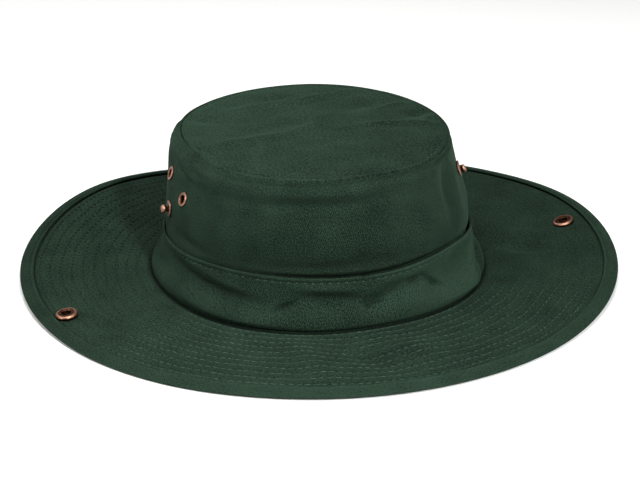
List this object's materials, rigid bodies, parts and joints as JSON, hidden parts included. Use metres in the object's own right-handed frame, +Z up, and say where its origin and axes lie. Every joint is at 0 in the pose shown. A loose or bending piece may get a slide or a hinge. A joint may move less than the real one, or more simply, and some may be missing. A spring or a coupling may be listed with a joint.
{
  "type": "bush hat",
  "caption": "Dark green cotton drill bush hat with a wide stitched brim, a banded crown, copper eyelets and side press studs, resting on its brim.",
  "frame": {"origin": "centre of the hat's footprint, on the surface that it rests on", "axes": "+Z up, -Y towards the front of the hat, +X to the right as seen from the front"},
  "size_m": [0.322, 0.341, 0.0807],
  "materials": {
    "drill": "matte",
    "copper": "satin"
  },
  "bodies": {
    "root": {"crown_top": "drill", "crown_side": "drill", "crown_band": "drill", "brim": "drill", "brim_binding": "drill", "eyelet_left_front": "copper", "eyelet_left_rear": "copper", "eyelet_right_front": "copper", "eyelet_right_rear": "copper", "stud_left": "copper", "stud_right": "copper", "socket_left": "copper", "socket_right": "copper", "cap_left": "copper", "cap_right": "copper"}
  },
  "joints": []
}
